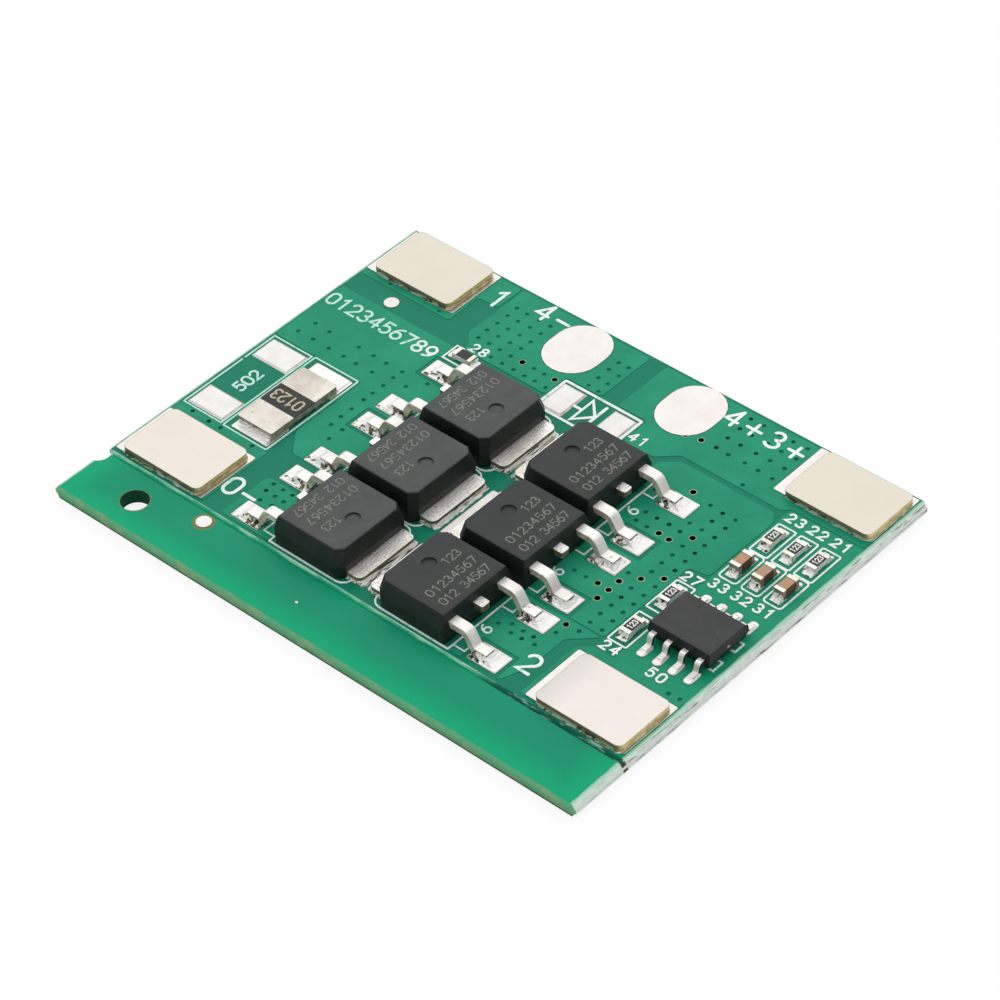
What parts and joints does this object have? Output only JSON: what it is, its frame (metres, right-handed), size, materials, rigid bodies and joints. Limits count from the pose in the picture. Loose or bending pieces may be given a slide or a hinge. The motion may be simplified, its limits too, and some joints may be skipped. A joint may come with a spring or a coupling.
{
  "type": "battery management board",
  "caption": "Small green circuit board that protects and balances a battery pack, with power transistors, a controller, a sense resistor, nickel tabs and a breakaway rail",
  "frame": {"origin": "middle of the underside of the laminate, rail included", "axes": "+X along the rail, from the end with the tooling hole to the other end; +Y from the rail to the output pads; +Z out of the component side"},
  "size_m": [0.0456, 0.035, 0.0034],
  "materials": {
    "laminate": "glossy green mask over woven glass laminate",
    "tab_metal": "rolled nickel strip, satin",
    "moulding": "fine matt black moulding compound",
    "frame_metal": "tinned copper, satin",
    "lead_metal": "tinned copper, bright",
    "shunt_coat": "matt dark coat",
    "shunt_metal": "tinned resistance alloy, satin",
    "white_ceramic": "matt white alumina",
    "brown_ceramic": "smooth tan ceramic",
    "end_metal": "tin plating, satin",
    "black_glaze": "glossy black overcoat",
    "pad_metal": "copper levelled with solder, bright",
    "solder": "bright solder"
  },
  "bodies": {
    "root": {"board": "laminate", "tab_front_left": "tab_metal", "tab_back_left": "tab_metal", "tab_back_right": "tab_metal", "tab_front_right": "tab_metal", "transistor_1_body": "moulding", "transistor_2_body": "moulding", "transistor_3_body": "moulding", "transistor_4_body": "moulding", "transistor_5_body": "moulding", "transistor_6_body": "moulding", "transistor_1_drain_frame": "frame_metal", "transistor_2_drain_frame": "frame_metal", "transistor_3_drain_frame": "frame_metal", "transistor_4_drain_frame": "frame_metal", "transistor_5_drain_frame": "frame_metal", "transistor_6_drain_frame": "frame_metal", "transistor_1_leads": "lead_metal", "transistor_2_leads": "lead_metal", "transistor_3_leads": "lead_metal", "transistor_4_leads": "lead_metal", "transistor_5_leads": "lead_metal", "transistor_6_leads": "lead_metal", "controller_body": "moulding", "controller_leads": "lead_metal", "sense_resistor_coat": "shunt_coat", "sense_resistor_strip": "shunt_metal", "resistor_1_ceramic": "white_ceramic", "resistor_2_ceramic": "white_ceramic", "resistor_3_ceramic": "white_ceramic", "resistor_4_ceramic": "white_ceramic", "resistor_5_ceramic": "white_ceramic", "resistor_6_ceramic": "white_ceramic", "resistor_1_ends": "end_metal", "resistor_2_ends": "end_metal", "resistor_3_ends": "end_metal", "resistor_4_ends": "end_metal", "resistor_5_ends": "end_metal", "resistor_6_ends": "end_metal", "resistor_glazes": "black_glaze", "capacitor_1_ceramic": "brown_ceramic", "capacitor_2_ceramic": "brown_ceramic", "capacitor_3_ceramic": "brown_ceramic", "capacitor_1_ends": "end_metal", "capacitor_2_ends": "end_metal", "capacitor_3_ends": "end_metal", "battery_pads": "pad_metal", "output_pads": "pad_metal", "drain_pads": "pad_metal", "lead_pads": "pad_metal", "controller_pads": "pad_metal", "chip_pads": "pad_metal", "spare_pads": "solder", "fiducials": "pad_metal", "tab_solder": "solder", "lead_solder": "solder", "controller_solder": "solder", "chip_solder": "solder"}
  },
  "joints": []
}
